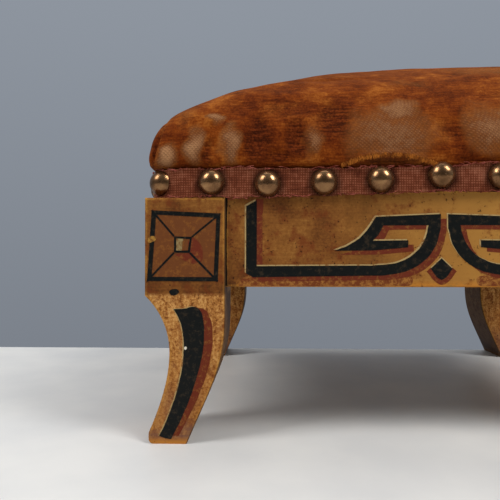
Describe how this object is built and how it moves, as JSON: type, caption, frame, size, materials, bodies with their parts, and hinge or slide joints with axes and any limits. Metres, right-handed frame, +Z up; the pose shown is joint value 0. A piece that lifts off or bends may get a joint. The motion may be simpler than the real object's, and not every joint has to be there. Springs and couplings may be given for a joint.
{
  "type": "prayer stool",
  "caption": "Low upholstered stool with sabre legs, painted gilt rails, a domed velvet cushion, woven tape and dome nails, for kneeling, sitting low or resting feet.",
  "frame": {"origin": "on the floor, under the middle of the seat", "axes": "+X to the right along the front, +Y to the back, +Z up"},
  "size_m": [0.2784, 0.2604, 0.2018],
  "materials": {
    "gilt_wood": "worn gilding with painted ornament",
    "bare_wood": "sawn, unfinished",
    "jute_webbing": "coarse woven strip",
    "aged_brass": "aged, dark patina",
    "steel_screw": "slotted wood screw",
    "blued_tack": "blued cut tack",
    "hessian": "open plain weave",
    "horsehair": "curled hair, loose fill",
    "cotton_wadding": "soft felted sheet",
    "calico": "unbleached plain weave",
    "worn_velvet": "rubbed pile with bare patches",
    "woven_tape": "ribbed braid"
  },
  "bodies": {
    "root": {"leg_front_left": "gilt_wood", "leg_front_right": "gilt_wood", "leg_rear_left": "gilt_wood", "leg_rear_right": "gilt_wood", "rail_front": "gilt_wood", "rail_rear": "gilt_wood", "rail_left": "gilt_wood", "rail_right": "gilt_wood", "corner_block_front_left": "bare_wood", "corner_block_front_right": "bare_wood", "corner_block_rear_left": "bare_wood", "corner_block_rear_right": "bare_wood", "webbing_long_1": "jute_webbing", "webbing_long_2": "jute_webbing", "webbing_long_3": "jute_webbing", "webbing_short_1": "jute_webbing", "webbing_short_2": "jute_webbing", "webbing_short_3": "jute_webbing", "dome_nails_front": "aged_brass", "dome_nails_rear": "aged_brass", "dome_nails_left": "aged_brass", "dome_nails_right": "aged_brass", "dome_nails_corner": "aged_brass", "corner_block_screws": "steel_screw", "webbing_tacks": "blued_tack", "hessian_tacks": "blued_tack", "hessian": "hessian", "horsehair_stuffing": "horsehair", "cotton_wadding": "cotton_wadding", "calico_lining": "calico", "velvet_cover": "worn_velvet", "woven_tape": "woven_tape"}
  },
  "joints": []
}
